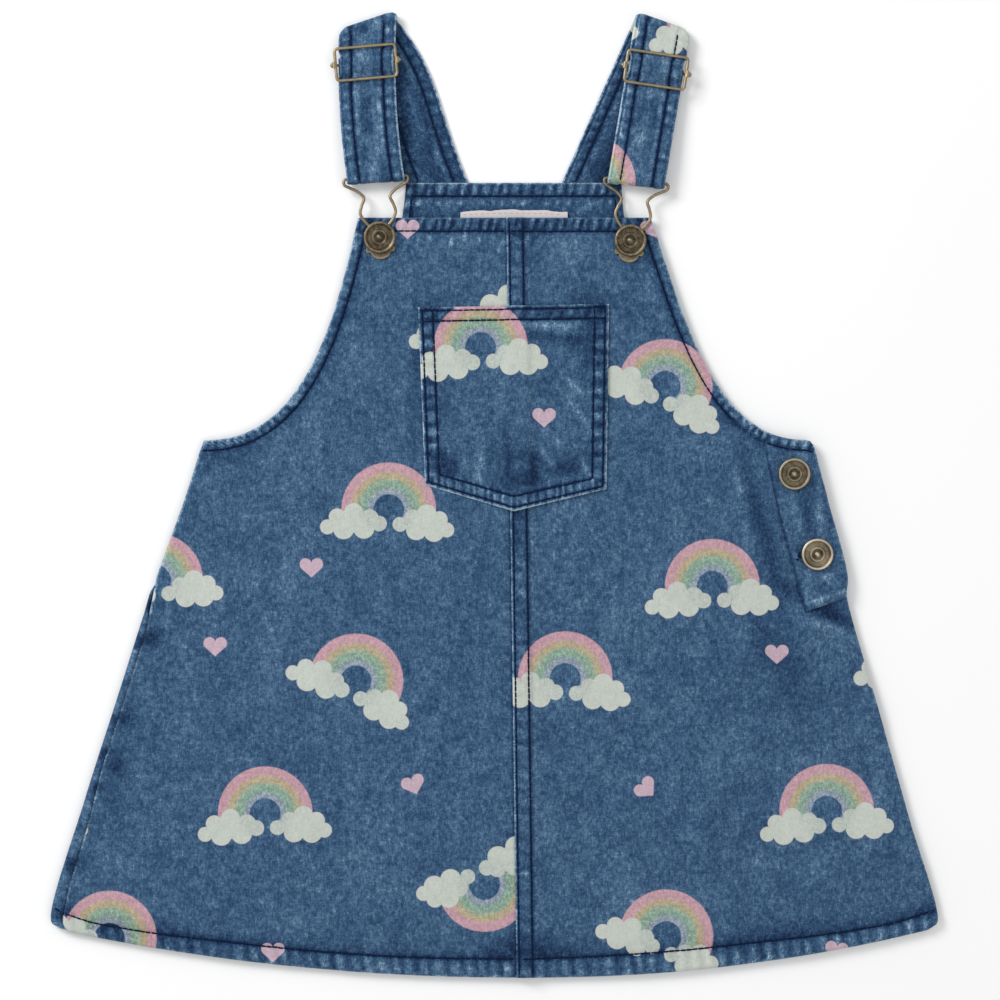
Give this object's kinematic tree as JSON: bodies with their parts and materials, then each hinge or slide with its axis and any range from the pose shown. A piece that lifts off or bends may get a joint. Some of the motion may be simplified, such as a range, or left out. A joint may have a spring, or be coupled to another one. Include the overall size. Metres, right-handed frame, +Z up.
{
  "type": "pinafore dress",
  "caption": "Child's A-line denim pinafore laid flat, with a bib, patch pocket, side button opening and folded shoulder straps on wire sliders and hooks.",
  "frame": {"origin": "on the surface that the dress lies on, below the middle of its outline", "axes": "+Y from the hem to the straps, +X to the viewer's right with the front up, +Z up out of the front"},
  "size_m": [0.4614, 0.5035, 0.0098],
  "materials": {
    "denim": "stonewashed mid-blue cotton denim with a soft print of rainbows, clouds and hearts",
    "denim_inside": "stonewashed mid-blue cotton denim",
    "label_tape": "pale woven tape, bare",
    "antique_brass": "antiqued, dark in the recesses and worn bright on the rims"
  },
  "bodies": {
    "root": {"back": "denim_inside", "front_left": "denim", "front_right": "denim", "pocket": "denim", "button_band": "denim", "neck_label": "label_tape", "strap_left": "denim", "strap_right": "denim", "slider_left": "antique_brass", "slider_right": "antique_brass", "hook_left": "antique_brass", "hook_right": "antique_brass", "bib_button_left": "antique_brass", "bib_button_right": "antique_brass", "side_button_upper": "antique_brass", "side_button_lower": "antique_brass"}
  },
  "joints": []
}
